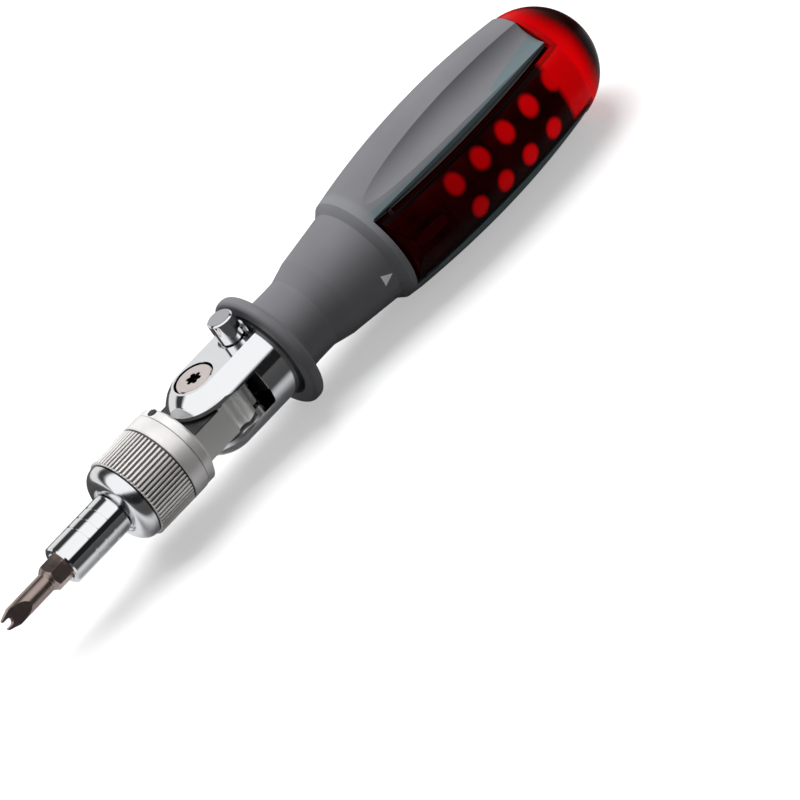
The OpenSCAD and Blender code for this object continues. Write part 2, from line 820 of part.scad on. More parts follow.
module ratchet_gear() {
  color("darkgray")
  difference() {
    translate([gear_x, 0, 0]) rotate([0, 90, 0]) linear_extrude(height = gear_l)
      polygon([
        for (i = [0 : gear_n - 1]) for (q = [
          [-gear_tip_share, gear_tip_r], [gear_tip_share, gear_tip_r], [1 / 2, gear_root_r]
        ])
          q[1] * [cos(360 * (i + q[0]) / gear_n), sin(360 * (i + q[0]) / gear_n)]
      ]);
    rod(gear_x - over, gear_l + 2 * over, stub_r);
    translate([gear_x + gear_l / 2, 0, -yoke_r]) cylinder(h = yoke_d, r = gear_pin_r);
  }
}

module gear_pin() {
  color("silver")
  translate([gear_x + gear_l / 2, 0, -gear_root_r + edge])
    cylinder(h = 2 * (gear_root_r - edge), r = gear_pin_r);
}

module thrust_washer() {
  color("tan")
  difference() {
    rod(boss_end + slide / 2, washer_l, gear_tip_r);
    rod(boss_end, washer_l + over, stub_r + running);
  }
}

module holder_magnet() {
  color([0.45, 0.45, 0.47]) rod(socket_l, magnet_l, magnet_r);
}

// The open spring ring in the socket that grips the bit's corners
module retaining_ring() {
  color("silver")
  difference() {
    rod(ring_groove_x + slide, ring_groove_w - 2 * slide, clip_r);
    rod(ring_groove_x, ring_groove_w, clip_r - clip_wire);
    translate([ring_groove_x, -clip_wire, 0]) cube([ring_groove_w, 2 * clip_wire, clip_r + over]);
  }
}

// A two-pronged spanner bit with its hexagon end in the holder
module driver_bit() {
  bit_tip = bit_l - socket_l + slide;
  notch_w = blade_w - 2 * prong_w;
  reach = blade_neck_r + over;
  flank_z = blade_neck_r - prong_w + edge;
  color([0.3, 0.27, 0.26])
  rotate([bit_turn, 0, 0])
  difference() {
    union() {
      intersection() {
        hex_rod(-hex_front, hex_front + socket_l - slide, hex_af);
        bevelled_rod(-hex_front, hex_front + socket_l - slide, hex_af / sqrt(3), 2 * edge);
      }
      turned() polygon([
        [0, -bit_tip], [blade_neck_r, -bit_tip], [blade_neck_r, -hex_front - 3 * edge / 2],
        [hex_af / 2 - edge / 2, -hex_front], [0, -hex_front]
      ]);
    }
    for (s = [-1, 1])
      translate([-bit_tip, s * (blade_t / 2 + grind_r), 0]) {
        translate([0, 0, -reach]) cylinder(h = 2 * reach, r = grind_r);
        translate([-grind_r, -grind_r, -reach]) cube([grind_r, 2 * grind_r, 2 * reach]);
      }
    translate([-bit_tip, reach, 0]) rotate([90, 0, 0]) linear_extrude(height = 2 * reach) {
      translate([prong_l - notch_w / 2, 0]) circle(d = notch_w);
      translate([-over, -notch_w / 2]) square([prong_l + over - notch_w / 2, notch_w]);
      for (s = [-1, 1])
        polygon([
          [-over, s * reach], [flank_l, s * reach], [flank_l, s * blade_neck_r], [0, s * flank_z],
          [-over, s * flank_z]
        ]);
    }
  }
}

// The magazine's outline seen from the side: a round front end about the hinge pin and a flat top
module tray_plan() {
  front = hinge_x - hinge_r;
  translate([hinge_x, hinge_y]) circle(r = hinge_r);
  polygon([
    [front, hinge_y], [front, tray_y - tray_corner], [front + tray_corner, tray_y], [plate_x, tray_y],
    [plate_x, -belly_r], [hinge_x + pocket_l + 2 * pocket_wall, -belly_r],
    [hinge_x + pocket_l + 2 * pocket_wall, hinge_y - hinge_r - pocket_sill], [hinge_x, hinge_y - hinge_r]
  ]);
}

module magazine_tray() {
  color([0.75, 0.05, 0.08])
  difference() {
    intersection() {
      turned() {
        handle_outline(magazine_inset, opening_x, plate_x);
        intersection() {
          translate([0, cap_x]) circle(r = cap_r);
          translate([0, plate_x - over]) square([cap_r, plate_l + over]);
        }
      }
      union() {
        translate([0, 0, -magazine_z]) linear_extrude(height = magazine_w) tray_plan();
        translate([plate_x, -cap_r, -cap_r]) cube([plate_l, 2 * cap_r, 2 * cap_r]);
      }
    }
    for (i = [0 : cell_n - 1]) for (s = [-1, 1])
      translate([cell_x(i), cell_y(i), s * row_z]) rotate([-90, 0, 0])
        cylinder(h = stored_l, r = (hex_af + 2 * cell_clear) / sqrt(3), $fn = 6);
    translate([hinge_x + hinge_pin_r + pocket_wall, pocket_y, pocket_wall - magazine_z])
      cube([pocket_l, stored_l, magazine_w - 2 * pocket_wall]);
    translate([hinge_x, hinge_y, -magazine_z - over])
      cylinder(h = magazine_w + 2 * over, r = hinge_pin_r + running);
  }
}

module magazine_cap() {
  color([0.85, 0.04, 0.07])
  difference() {
    translate([cap_x, 0, 0]) sphere(r = cap_r);
    translate([cap_x, 0, 0]) sphere(r = cap_r - cap_wall);
    translate([cap_x - cap_r - over, -cap_r - over, -cap_r - over])
      cube([plate_x + plate_l - cap_x + cap_r + over, 2 * (cap_r + over), 2 * (cap_r + over)]);
  }
}

// The small peg on the end plate that snaps the magazine shut
module magazine_latch() {
  color([0.85, 0.04, 0.07])
  translate([plate_x - latch_l, latch_y, 0]) rotate([0, 90, 0]) {
    cylinder(h = latch_l, r = latch_r);
    sphere(r = latch_r);
  }
}

// The tips of the stored bits, standing on z = 0 and pointing up
module slot_tip(l, w, t, neck) {
  intersection() {
    translate([0, 0, -over]) cylinder(h = l + over, r = w / 2);
    rotate([90, 0, 0]) translate([0, 0, -w]) linear_extrude(height = 2 * w)
      polygon([
        [-w, -over], [w, -over], [neck, 0], [neck, l / 4], [t / 2, l], [-t / 2, l], [-neck, l / 4], [-neck, 0]
      ]);
    rotate([90, 0, 90]) translate([0, 0, -w]) linear_extrude(height = 2 * w)
      polygon([
        [-neck, -over], [neck, -over], [neck, l / 5], [w / 2, 2 * l / 5], [w / 2, l], [-w / 2, l],
        [-w / 2, 2 * l / 5], [-neck, l / 5]
      ]);
  }
}

module cross_tip(l, r) {
  difference() {
    rotate_extrude() polygon([[0, -over], [r, -over], [r, cone_share * l], [point_share * r, l], [0, l]]);
    for (a = [45 : 90 : 315])
      rotate([0, 0, a]) translate([point_share * r, 0, l]) rotate([0, -wing_slope, 0]) rotate([0, 0, -45])
        translate([0, 0, -wing_share * l]) cube([2 * r, 2 * r, l]);
  }
}

module prism_tip(l, r, sides) {
  translate([0, 0, -over]) cylinder(h = l + over, r = r, $fn = sides);
}

module star_tip(l, r) {
  translate([0, 0, -over]) {
    cylinder(h = l + over, r = star_core_share * r);
    for (i = [0 : 5])
      rotate([0, 0, 60 * i]) translate([star_core_share * r, 0, 0])
        cylinder(h = l + over, r = (1 - star_core_share) * r);
  }
}

// A stored bit with its hexagon shank in cell i of a row: side is 1 for the button's row, -1 for the other
module stored_bit(i, side, tip) {
  kind = tip[0];
  size = tip[1] * hex_af;
  hex_r = hex_af / sqrt(3);
  tip_l = stored_l - stored_shank_l - stored_neck_l;
  neck = kind == "slot" ? stored_neck_r : min(stored_neck_r, size + edge);
  color([0.33, 0.3, 0.29])
  translate([cell_x(i), cell_y(i) + running, side * row_z]) rotate([-90, 0, 0]) {
    intersection() {
      cylinder(h = stored_shank_l, r = hex_r, $fn = 6);
      rotate_extrude() polygon([
        [0, 0], [hex_r - edge, 0], [hex_r, edge], [hex_r, stored_shank_l - edge],
        [hex_r - 2 * edge, stored_shank_l], [0, stored_shank_l]
      ]);
    }
    translate([0, 0, stored_shank_l]) cylinder(h = stored_neck_l, r = neck);
    translate([0, 0, stored_shank_l + stored_neck_l]) {
      if (kind == "slot") slot_tip(tip_l, size, tip[2] * hex_af, neck);
      if (kind == "cross") cross_tip(tip_l, size);
      if (kind == "hex") prism_tip(tip_l, size, 6);
      if (kind == "square") prism_tip(tip_l, size, 4);
      if (kind == "star") star_tip(tip_l, size);
    }
  }
}

// The button's row from the hinge to the dome, then the other row
module stored_bit_1() { stored_bit(0, 1, upper_tip_shares[0]); }
module stored_bit_2() { stored_bit(1, 1, upper_tip_shares[1]); }
module stored_bit_3() { stored_bit(2, 1, upper_tip_shares[2]); }
module stored_bit_4() { stored_bit(3, 1, upper_tip_shares[3]); }
module stored_bit_5() { stored_bit(4, 1, upper_tip_shares[4]); }
module stored_bit_6() { stored_bit(0, -1, lower_tip_shares[0]); }
module stored_bit_7() { stored_bit(1, -1, lower_tip_shares[1]); }
module stored_bit_8() { stored_bit(2, -1, lower_tip_shares[2]); }
module stored_bit_9() { stored_bit(3, -1, lower_tip_shares[3]); }
module stored_bit_10() { stored_bit(4, -1, lower_tip_shares[4]); }

grip();
handle_core();
hinge_pin();
yoke();
yoke_pin();
pivot_screw();
pivot_nut();
pivot_washers();
button_plug();
lock_button();
button_spring();
knuckle();
ratchet_housing();
housing_pin();
nose_cap();
pawl_pin();
detent_ball();
detent_spring();
selector_ring();
selector_ball();
pawl();
bit_holder();
ratchet_gear();
gear_pin();
thrust_washer();
holder_magnet();
retaining_ring();
driver_bit();
magazine_tray();
magazine_cap();
magazine_latch();
stored_bit_1();
stored_bit_2();
stored_bit_3();
stored_bit_4();
stored_bit_5();
stored_bit_6();
stored_bit_7();
stored_bit_8();
stored_bit_9();
stored_bit_10();
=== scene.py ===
"""Finishes, knurl and soft edges of the ratcheting screwdriver, with its studio and camera."""

import json
import math

import bmesh
import bpy
from mathutils import Matrix, Vector
from mathutils.bvhtree import BVHTree


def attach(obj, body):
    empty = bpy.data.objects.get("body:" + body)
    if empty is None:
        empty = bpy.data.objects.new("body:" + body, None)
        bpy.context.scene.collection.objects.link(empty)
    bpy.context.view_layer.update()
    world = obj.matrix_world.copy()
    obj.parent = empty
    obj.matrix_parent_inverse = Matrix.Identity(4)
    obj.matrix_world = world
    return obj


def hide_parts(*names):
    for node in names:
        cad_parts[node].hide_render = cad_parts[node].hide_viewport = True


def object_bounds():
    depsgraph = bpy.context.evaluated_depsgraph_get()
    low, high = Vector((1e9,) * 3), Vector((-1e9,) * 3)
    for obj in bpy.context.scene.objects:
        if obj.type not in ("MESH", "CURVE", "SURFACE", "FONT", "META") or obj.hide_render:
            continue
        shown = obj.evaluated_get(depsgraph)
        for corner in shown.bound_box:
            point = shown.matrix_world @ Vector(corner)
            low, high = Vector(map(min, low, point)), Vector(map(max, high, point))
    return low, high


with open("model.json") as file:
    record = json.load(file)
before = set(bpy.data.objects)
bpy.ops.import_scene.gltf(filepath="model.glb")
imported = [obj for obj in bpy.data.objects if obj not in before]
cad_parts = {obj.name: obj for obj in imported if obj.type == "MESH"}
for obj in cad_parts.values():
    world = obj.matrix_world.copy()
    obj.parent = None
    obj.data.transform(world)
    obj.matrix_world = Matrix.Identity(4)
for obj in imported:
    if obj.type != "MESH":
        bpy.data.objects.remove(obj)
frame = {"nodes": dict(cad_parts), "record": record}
cad_low, cad_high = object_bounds()
nodes = frame["nodes"]
MM = 0.001


def box(name):
    """Low and high corner of a node's own mesh."""
    places = [vertex.co for vertex in nodes[name].data.vertices]
    return [Vector([side(axis) for axis in zip(*places)]) for side in (min, max)]


def middle(name):
    """Centre of a node's box."""
    low, high = box(name)
    return (low + high) / 2


# Places and sizes that the finishes need, in metres, taken from the frame where it gives them
ring_low, ring_high = box("selector_ring")
RING_START, RING_END, RING_RADIUS = ring_low.x, ring_high.x, ring_high.z
RING_BORE = 9.4 * MM
KNURL_LENGTH = 11.4 * MM
RING_SEAM = RING_START + KNURL_LENGTH
PIN_X = middle("housing_pin").x
joints = {joint["name"]: joint for joint in frame["record"]["behaviour"]["joints"]}
PIVOT_X = joints["head_tilt"]["pos_m"][0]
BUTTON_FACE = box("lock_button")[1].z
CELL_X, CELL_ROW = middle("stored_bit_1").x, middle("stored_bit_1").z
CELL_PITCH = middle("stored_bit_2").x - CELL_X
CELLS_IN_ROW = 5
BELLY_X = 139 * MM
BELLY_ARC = 201.2 * MM
BELLY_RADIUS = -box("grip")[0].z
TRAY_TOP = -2.1 * MM

# Colours that more than one finish uses
PLATE = (0.9, 0.91, 0.92)
NICKEL_GREY = (0.86, 0.85, 0.83)
# Black for painted shade in the yoke's slot and counterbore, and for the dark seam at the nose
SHADE_AND_SEAM_BLACK = (0.02, 0.02, 0.02)
# Grey for the dark joint at the knuckle's pin, and for painted shadow on its tongue
SEAM_AND_SHADOW_GREY = (0.03, 0.03, 0.03)
UNLIT = (0, 0, 0, 1)


# Shader helpers

def add(tree, kind, inputs=(), **values):
    """A node of that kind, with its inputs set by label and its properties by name."""
    node = tree.nodes.new(kind)
    for label, value in dict(inputs).items():
        node.inputs[label].default_value = value
    for key, value in values.items():
        setattr(node, key, value)
    return node


def wire(tree, source, target):
    """Links an output socket to an input socket."""
    tree.links.new(source, target)


def maths(tree, operation, first, second=None):
    """A Math node on values or on sockets; its output socket."""
    node = add(tree, "ShaderNodeMath", operation=operation)
    for index, value in enumerate((first, second)):
        if value is None:
            continue
        if isinstance(value, (int, float)):
            node.inputs[index].default_value = value
        else:
            wire(tree, value, node.inputs[index])
    return node.outputs[0]


def split(tree):
    """The X, Y and Z sockets of the object coordinates."""
    coords = add(tree, "ShaderNodeTexCoord")
    parts = add(tree, "ShaderNodeSeparateXYZ")
    wire(tree, coords.outputs["Object"], parts.inputs[0])
    return parts.outputs


def inside(tree, value, low, high):
    """1 where low < value < high, else 0."""
    above = maths(tree, "GREATER_THAN", value, low)
    below = maths(tree, "LESS_THAN", value, high)
    return maths(tree, "MULTIPLY", above, below)


def soft_step(tree, value, low, high):
    """Rises smoothly from 0 at low to 1 at high."""
    spread = {"From Min": low, "From Max": high}
    node = add(tree, "ShaderNodeMapRange", spread, interpolation_type="SMOOTHSTEP")
    wire(tree, value, node.inputs["Value"])
    return node.outputs[0]


def colour_mix(tree, factor, first, second):
    """A Mix node on colours; factor, first and second are sockets or values."""
    node = add(tree, "ShaderNodeMix", data_type="RGBA")
    # The sockets for colours stand behind those for numbers and vectors
    for socket, value in ((node.inputs[0], factor), (node.inputs[6], first), (node.inputs[7], second)):
        if isinstance(value, bpy.types.NodeSocket):
            wire(tree, value, socket)
        else:
            socket.default_value = value
    return node.outputs[2]


def new_group(name, inputs, outputs):
    """An empty shader group with named value inputs and outputs, and its input and output nodes."""
    tree = bpy.data.node_groups.new(name, "ShaderNodeTree")
    for label, value in inputs:
        socket = tree.interface.new_socket(name=label, in_out="INPUT", socket_type="NodeSocketFloat")
        socket.default_value = value
    for label, kind in outputs:
        tree.interface.new_socket(name=label, in_out="OUTPUT", socket_type=kind)
    return tree, add(tree, "NodeGroupInput").outputs, add(tree, "NodeGroupOutput").inputs


def moulded_grain():
    """Fine moulded or blasted texture: a height, and a slow mottling between Low and High."""
    tree, given, out = new_group(
        "moulded_grain", [("Grain Scale", 4000), ("Mottle Scale", 90), ("Low", 0.4), ("High", 0.6)],
        [("Height", "NodeSocketFloat"), ("Mottle", "NodeSocketFloat")])
    coords = add(tree, "ShaderNodeTexCoord")
    fine = add(tree, "ShaderNodeTexNoise", {"Detail": 3, "Roughness": 0.6})
    slow = add(tree, "ShaderNodeTexNoise", {"Detail": 4, "Roughness": 0.55})
    for noise, size in ((fine, given["Grain Scale"]), (slow, given["Mottle Scale"])):
        wire(tree, coords.outputs["Object"], noise.inputs["Vector"])
        wire(tree, size, noise.inputs["Scale"])
    spread = add(tree, "ShaderNodeMapRange", {"From Min": 0.3, "From Max": 0.7})
    wire(tree, slow.outputs[0], spread.inputs["Value"])
    wire(tree, given["Low"], spread.inputs["To Min"])
    wire(tree, given["High"], spread.inputs["To Max"])
    wire(tree, fine.outputs[0], out["Height"])
    wire(tree, spread.outputs[0], out["Mottle"])
    return tree


def turned_lines():
    """Fine lines from turning about the X axis, with smudges: a height, and a roughness from Low to High."""
    tree, given, out = new_group(
        "turned_lines", [("Line Scale", 3000), ("Low", 0.05), ("High", 0.12)],
        [("Height", "NodeSocketFloat"), ("Roughness", "NodeSocketFloat")])
    coords = add(tree, "ShaderNodeTexCoord")
    squeeze = add(tree, "ShaderNodeMapping", {"Scale": (1, 0.02, 0.02)})
    lines = add(tree, "ShaderNodeTexNoise", {"Detail": 2, "Roughness": 0.5})
    smudge = add(tree, "ShaderNodeTexNoise", {"Scale": 260, "Detail": 4, "Roughness": 0.6})
    wire(tree, coords.outputs["Object"], squeeze.inputs["Vector"])
    wire(tree, squeeze.outputs[0], lines.inputs["Vector"])
    wire(tree, given["Line Scale"], lines.inputs["Scale"])
    wire(tree, coords.outputs["Object"], smudge.inputs["Vector"])
    both = maths(tree, "ADD", maths(tree, "MULTIPLY", lines.outputs[0], 0.5),
                 maths(tree, "MULTIPLY", smudge.outputs[0], 0.5))
    spread = add(tree, "ShaderNodeMapRange", {"From Min": 0.35, "From Max": 0.65})
    wire(tree, both, spread.inputs["Value"])
    wire(tree, given["Low"], spread.inputs["To Min"])
    wire(tree, given["High"], spread.inputs["To Max"])
    wire(tree, lines.outputs[0], out["Height"])
    wire(tree, spread.outputs[0], out["Roughness"])
    return tree


GRAIN = moulded_grain()
LINES = turned_lines()


def material(name):
    """A material with its tree and its Principled shader."""
    made = bpy.data.materials.new(name)
    made.use_nodes = True
    return made, made.node_tree, made.node_tree.nodes["Principled BSDF"]


def bumped(tree, shader, height, strength, distance):
    """Lets a height roughen the shader's surface."""
    bump = add(tree, "ShaderNodeBump", {"Strength": strength, "Distance": distance})
    wire(tree, height, bump.inputs["Height"])
    wire(tree, bump.outputs[0], shader.inputs["Normal"])


def add_group(tree, group, inputs):
    """A node of that group, with its inputs set by label."""
    node = add(tree, "ShaderNodeGroup", node_tree=group)
    for label, value in inputs.items():
        node.inputs[label].default_value = value
    return node


def grained(tree, grain, mottle, low=0, high=1):
    """The height and the mottling of the moulded grain group, with its own values."""
    node = add_group(tree, GRAIN, {"Grain Scale": grain, "Mottle Scale": mottle, "Low": low, "High": high})
    return node.outputs["Height"], node.outputs["Mottle"]


def metal(name, colour, rough_low, rough_high, line_scale=3000, strength=0.1, tint=0.06):
    """A plated or bare metal with turning lines, smudged gloss and a slight change of tone."""
    line_depth = 0.01 * MM
    made, tree, shader = material(name)
    lines = add_group(tree, LINES, {"Line Scale": line_scale, "Low": rough_low, "High": rough_high})
    wire(tree, lines.outputs["Roughness"], shader.inputs["Roughness"])
    bumped(tree, shader, lines.outputs["Height"], strength, line_depth)
    tone = grained(tree, 4000, 120)[1]
    darker = [c * (1 - tint) for c in colour]
    wire(tree, colour_mix(tree, tone, (*darker, 1), (*colour, 1)), shader.inputs["Base Color"])
    shader.inputs["Metallic"].default_value = 1
    return made, tree, shader


def over_colour(tree, shader, mask, colour):
    """Lays a colour over the shader's base colour where the mask is 1."""
    socket = shader.inputs["Base Color"]
    before = socket.links[0].from_socket
    wire(tree, colour_mix(tree, mask, before, (*colour, 1)), socket)


def from_axis(tree, first, second):
    """Distance from an axis, from the two coordinates across it."""
    return maths(tree, "SQRT", maths(tree, "ADD", maths(tree, "MULTIPLY", first, first),
                                     maths(tree, "MULTIPLY", second, second)))


def yoke_material():
    """Polished plate, with painted shade deep in the slot and in the screw's counterbore."""
    slot_half, slot_reach, slot_start = 4.9 * MM, 10.6 * MM, 60.5 * MM
    bore_radius, bore_top, bore_shade = 5.8 * MM, 9.35 * MM, (0.015, 0.015, 0.015)
    made, tree, shader = metal("yoke_chrome", PLATE, 0.05, 0.12, strength=0.02, tint=0.03)
    x, y, z = split(tree)
    # Painted shade deep in the slot
    deep = maths(tree, "MULTIPLY", maths(tree, "LESS_THAN", maths(tree, "ABSOLUTE", z), slot_half),
                 maths(tree, "LESS_THAN", from_axis(tree, y, z), slot_reach))
    deep = maths(tree, "MULTIPLY", deep, maths(tree, "GREATER_THAN", x, slot_start))
    over_colour(tree, shader, deep, SHADE_AND_SEAM_BLACK)
    # Painted shade in the screw's counterbore
    bore = from_axis(tree, maths(tree, "SUBTRACT", x, PIVOT_X), y)
    bore = maths(tree, "LESS_THAN", bore, bore_radius)
    bore = maths(tree, "MULTIPLY", bore, inside(tree, z, slot_half, bore_top))
    over_colour(tree, shader, bore, bore_shade)
    return made


def screw_material():
    """Satin head with a pink cast, and painted shade in its recess."""
    pink_nickel, recess_shade_brown = (0.8, 0.72, 0.69), (0.06, 0.035, 0.03)
    recess_radius, recess_floor, recess_top = 2.3 * MM, 6 * MM, 9.32 * MM
    made, tree, shader = metal("screw_nickel", pink_nickel, 0.12, 0.22, strength=0.12)
    x, y, z = split(tree)
    # Painted shade in the star recess
    recess = from_axis(tree, maths(tree, "SUBTRACT", x, PIVOT_X), y)
    recess = maths(tree, "LESS_THAN", recess, recess_radius)
    recess = maths(tree, "MULTIPLY", recess, inside(tree, z, recess_floor, recess_top))
    over_colour(tree, shader, recess, recess_shade_brown)
    return made


def ring_material():
    """Satin ring with painted shade in the grooves between its teeth and in the groove beside them, and a
    dark seam at its end.
    """
    warm_nickel, groove_shade, end_dark = (0.93, 0.91, 0.89), (0.16, 0.14, 0.13), (0.04, 0.04, 0.04)
    groove, rim, overlap, end_seam = 0.17 * MM, 0.3 * MM, 0.1 * MM, 0.12 * MM
    made, tree, shader = metal("ring_nickel", warm_nickel, 0.4, 0.48, strength=0.04)
    x, y, z = split(tree)
    # Painted shade in the grooves between the teeth and in the groove beside them
    low = maths(tree, "LESS_THAN", from_axis(tree, y, z), RING_RADIUS - groove)
    low = maths(tree, "MULTIPLY", low, inside(tree, x, RING_START + rim, RING_SEAM + overlap))
    over_colour(tree, shader, low, groove_shade)
    end = maths(tree, "GREATER_THAN", x, RING_END - end_seam)
    over_colour(tree, shader, end, end_dark)
    shader.inputs["Metallic"].default_value = 0.6
    return made


def nose_material():
    """Softly polished nose with a dark line where it meets the ring."""
    seam_width = 0.4 * MM
    made, tree, shader = metal("nose_chrome", PLATE, 0.14, 0.2, strength=0.02, tint=0.03)
    seam = maths(tree, "GREATER_THAN", split(tree)[0], RING_START - seam_width)
    over_colour(tree, shader, seam, SHADE_AND_SEAM_BLACK)
    return made


def knuckle_material():
    """Satin knuckle with the dark joint round the end of its cross pin, and painted shadow on the top of its
    tongue under the yoke's arms.
    """
    joint_inner, joint_outer, joint_floor = 0.95 * MM, 1.3 * MM, 9 * MM
    root_start, root_end, root_floor = 41.75 * MM, 50 * MM, 3.9 * MM
    made, tree, shader = metal("knuckle_nickel", NICKEL_GREY, 0.28, 0.38, strength=0.06)
    x, y, z = split(tree)
    joint = from_axis(tree, maths(tree, "SUBTRACT", x, PIN_X), y)
    joint = inside(tree, joint, joint_inner, joint_outer)
    joint = maths(tree, "MULTIPLY", joint, maths(tree, "GREATER_THAN", z, joint_floor))
    over_colour(tree, shader, joint, SEAM_AND_SHADOW_GREY)
    # Painted shadow of the yoke's arms on the tongue's top, next to the collar
    tongue_shadow = inside(tree, x, root_start, root_end)
    tongue_shadow = maths(tree, "MULTIPLY", tongue_shadow, maths(tree, "GREATER_THAN", z, root_floor))
    over_colour(tree, shader, tongue_shadow, SEAM_AND_SHADOW_GREY)
    shader.inputs["Metallic"].default_value = 0.45
    return made


def button_material():
    """Polished button with a duller, slightly darker face to press on."""
    face_depth, face_grey = 0.04 * MM, (0.5, 0.5, 0.52)
    made, tree, shader = metal("button_chrome", PLATE, 0.04, 0.1, strength=0.02, tint=0.03)
    face = maths(tree, "GREATER_THAN", split(tree)[2], BUTTON_FACE - face_depth)
    over_colour(tree, shader, face, face_grey)
    return made


def moulded(name, colour, grain, strength, rough_low, rough_high):
    """A moulded plastic or rubber with a fine grain and a slight change of tone."""
    tint, grain_depth, gloss_patches, tone_patches = 0.1, 0.03 * MM, 90, 60
    made, tree, shader = material(name)
    height, mottle = grained(tree, grain, gloss_patches, rough_low, rough_high)
    wire(tree, mottle, shader.inputs["Roughness"])
    bumped(tree, shader, height, strength, grain_depth)
    tone = grained(tree, grain, tone_patches)[1]
    darker = [c * (1 - tint) for c in colour]
    base = colour_mix(tree, tone, (*darker, 1), (*colour, 1))
    wire(tree, base, shader.inputs["Base Color"])
    return made, tree, shader, base


def grip_material():
    """Grey soft-touch skin, with smoother bands beside the magazine and a small triangle on the neck."""
    soft_grey, band_grey = (0.145, 0.145, 0.155), (0.1, 0.132, 0.142, 1)
    highlight_grey, mark_white = (0.2, 0.205, 0.215, 1), (0.85, 0.85, 0.88, 1)
    made, tree, shader, base = moulded(
        "grip_soft_touch", soft_grey, grain=5200, strength=0.16, rough_low=0.46, rough_high=0.58)
    x, y, z = split(tree)

    # The bands lie on both sides of the opening
    band_inner, band_outer, band_low, band_high = 10.25 * MM, 11.85 * MM, -16 * MM, -1 * MM
    band_start, band_end = 107 * MM, 169 * MM
    band = inside(tree, maths(tree, "ABSOLUTE", z), band_inner, band_outer)
    band = maths(tree, "MULTIPLY", band, inside(tree, y, band_low, band_high))
    band = maths(tree, "MULTIPLY", band, inside(tree, x, band_start, band_end))
    base = colour_mix(tree, band, base, band_grey)

    # A faint painted highlight on the ridge where the neck meets the belly
    ridge_x, ridge_rise, ridge_crest, ridge_end = 106.5 * MM, 2.5 * MM, 1 * MM, 3 * MM
    ridge_strength = 0.5
    ridge_highlight = maths(tree, "MULTIPLY", soft_step(tree, x, ridge_x - ridge_rise, ridge_x),
                  soft_step(tree, x, ridge_x + ridge_end, ridge_x + ridge_crest))
    base = colour_mix(tree, maths(tree, "MULTIPLY", ridge_highlight, ridge_strength), base, highlight_grey)

    # The triangle points to the magazine
    mark_start, mark_z, mark_half, mark_slope = 100.4 * MM, -1.9 * MM, 1.6 * MM, 0.55
    along = maths(tree, "SUBTRACT", x, mark_start)
    across = maths(tree, "ABSOLUTE", maths(tree, "SUBTRACT", z, mark_z))
    slope = maths(tree, "ADD", across, maths(tree, "MULTIPLY", along, mark_slope))
    mark = maths(tree, "GREATER_THAN", along, 0)
    mark = maths(tree, "MULTIPLY", mark, maths(tree, "LESS_THAN", slope, mark_half))
    mark = maths(tree, "MULTIPLY", mark, maths(tree, "LESS_THAN", y, 0))
    base = colour_mix(tree, mark, base, mark_white)
    wire(tree, base, shader.inputs["Base Color"])
    shader.inputs["Specular IOR Level"].default_value = 0.4
    return made


def clear_red(name, colour, see_through, rough):
    """Clear red plastic with a polished, very slightly uneven skin, its base colour and its shader."""
    rough_spread, ripple_depth, darker_share = 0.4, 0.02 * MM, 0.8
    made, tree, shader = material(name)
    height, mottle = grained(tree, 700, 70, rough * (1 - rough_spread), rough * (1 + rough_spread))
    wire(tree, mottle, shader.inputs["Roughness"])
    bumped(tree, shader, height, 0.05, ripple_depth)
    darker = [c * darker_share for c in colour]
    base = colour_mix(tree, grained(tree, 900, 40)[1], (*darker, 1), (*colour, 1))
    shader.inputs["Transmission Weight"].default_value = see_through
    shader.inputs["IOR"].default_value = 1.2
    shader.inputs["Specular IOR Level"].default_value = 0.1
    return made, tree, shader, base


def dome_material():
    """The dome, with painted shade where its wall is seen edgewise near its end, and a painted glow on its
    lower side.
    """
    rim_start, rim_full, rim_shade_red = 169 * MM, 176 * MM, (0.012, 0.0, 0.0, 1)
    facing_start, facing_full = 0.08, 0.46
    glow_start, glow_full, painted_glow_red = 6 * MM, -14 * MM, (0.4, 0.0, 0.001, 1)
    made, tree, shader, base = clear_red("dome_red", (0.6, 0.001, 0.002), see_through=0.1, rough=0.2)
    x, y, z = split(tree)
    # Painted shade where the wall is seen edgewise, towards the dome's end
    edge = add(tree, "ShaderNodeLayerWeight", {"Blend": 0.4})
    rim = soft_step(tree, edge.outputs["Facing"], facing_start, facing_full)
    rim = maths(tree, "MULTIPLY", soft_step(tree, x, rim_start, rim_full), rim)
    base = colour_mix(tree, rim, base, rim_shade_red)
    wire(tree, base, shader.inputs["Base Color"])
    shader.inputs["Specular IOR Level"].default_value = 0.03
    # A painted glow on its lower side, as if light from above came out again there
    under = soft_step(tree, maths(tree, "ADD", y, z), glow_start, glow_full)
    glow = maths(tree, "MULTIPLY", under, maths(tree, "SUBTRACT", 1.0, rim))
    glow = colour_mix(tree, glow, UNLIT, painted_glow_red)
    wire(tree, glow, shader.inputs["Emission Color"])
    shader.inputs["Emission Strength"].default_value = 1
    return made


def tray_windows(tree, x, y, base):
    """The magazine's side walls: a clear window over each bit and beside it, with dark seams between them."""
    floor_y = -12.2 * MM
    over_bit, beside_bit = (0.34, 0.09, 0.09, 1), (0.66, 0.15, 0.14, 1)
    seam_red = (0.14, 0.003, 0.005, 1)
    # Shares of the pitch, from the middle of a cell
    window_share, seam_start_share, seam_end_share = 0.3, 0.275, 0.325
    first = CELL_X - CELL_PITCH / 2
    share = maths(tree, "FRACT", maths(tree, "DIVIDE", maths(tree, "SUBTRACT", x, first), CELL_PITCH))
    off = maths(tree, "ABSOLUTE", maths(tree, "SUBTRACT", share, 0.5))
    window = colour_mix(tree, maths(tree, "GREATER_THAN", off, window_share), over_bit, beside_bit)
    window = colour_mix(tree, inside(tree, off, seam_start_share, seam_end_share), window, seam_red)
    place = inside(tree, x, first, first + CELLS_IN_ROW * CELL_PITCH)
    place = maths(tree, "MULTIPLY", place, maths(tree, "GREATER_THAN", y, floor_y))
    return colour_mix(tree, place, base, window)


